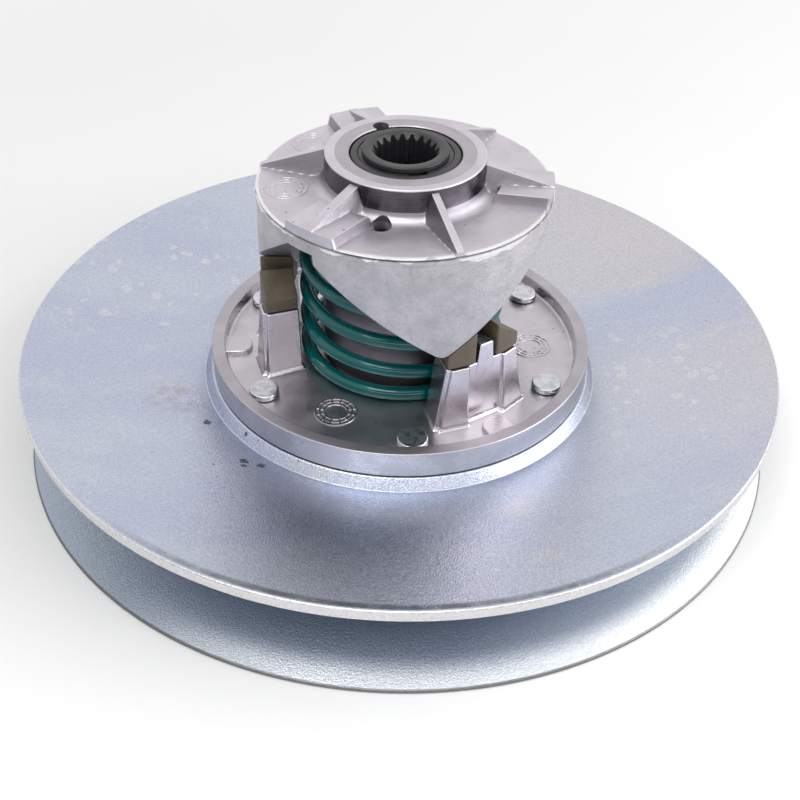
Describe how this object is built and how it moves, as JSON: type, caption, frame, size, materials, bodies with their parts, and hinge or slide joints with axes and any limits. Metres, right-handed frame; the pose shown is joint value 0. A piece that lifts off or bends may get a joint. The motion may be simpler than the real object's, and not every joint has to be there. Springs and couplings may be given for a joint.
{
  "type": "cvt driven pulley",
  "caption": "Driven pulley of a belt CVT: two conical sheaves on a splined post, with a ramp cam, plastic shoes and a coil spring that close the belt groove.",
  "frame": {"origin": "centre of the shaft axis, in the plane of the fixed sheave's rim on which the pulley lies", "axes": "+Z along the shaft, from the fixed sheave towards the cam; one cam lobe points to -Y"},
  "size_m": [0.268, 0.268, 0.1109],
  "materials": {
    "zinc_sheave": "zinc plated, satin, cloudy",
    "cast_aluminium": "tumbled casting",
    "black_steel": "black oxide, satin",
    "bright_steel": "bright zinc",
    "shoe_plastic": "moulded, satin",
    "bushing_bronze": "sintered bronze",
    "teal_paint": "gloss paint"
  },
  "bodies": {
    "fixed_assembly": {"fixed_sheave": "zinc_sheave", "fixed_hub": "zinc_sheave", "splined_post": "black_steel", "ramp_cam": "cast_aluminium", "retaining_ring": "black_steel", "snap_ring": "black_steel", "lock_pin": "bright_steel", "fixed_rivet_1": "bright_steel", "fixed_rivet_2": "bright_steel", "fixed_rivet_3": "bright_steel", "fixed_rivet_4": "bright_steel", "fixed_rivet_5": "bright_steel", "fixed_rivet_6": "bright_steel"},
    "spring": {"compression_spring": "teal_paint"},
    "movable_assembly": {"movable_sheave": "zinc_sheave", "slider_hub": "cast_aluminium", "lower_bushing": "bushing_bronze", "upper_bushing": "bushing_bronze", "rivet_1": "bright_steel", "rivet_2": "bright_steel", "rivet_3": "bright_steel", "rivet_4": "bright_steel", "rivet_5": "bright_steel", "rivet_6": "bright_steel", "slider_shoe_1_left": "shoe_plastic", "slider_shoe_1_right": "shoe_plastic", "slider_shoe_2_left": "shoe_plastic", "slider_shoe_2_right": "shoe_plastic", "slider_shoe_3_left": "shoe_plastic", "slider_shoe_3_right": "shoe_plastic"}
  },
  "joints": [
    {"name": "sheave_twist", "type": "hinge", "parent": "fixed_assembly", "child": "spring", "pos_m": [0, 0, 0], "axis": [0, 0, 1], "range_deg": [0, 38.2]},
    {"name": "sheave_slide", "type": "slide", "parent": "spring", "child": "movable_assembly", "axis": [0, 0, 1], "range_m": [0, 0.0226], "stiffness_N_per_m": 5000, "springref_m": -0.05, "deforming": ["compression_spring"]}
  ],
  "couplings": [
    {"joint": "sheave_twist", "follows": "sheave_slide", "rad_per_m": 29.326}
  ]
}
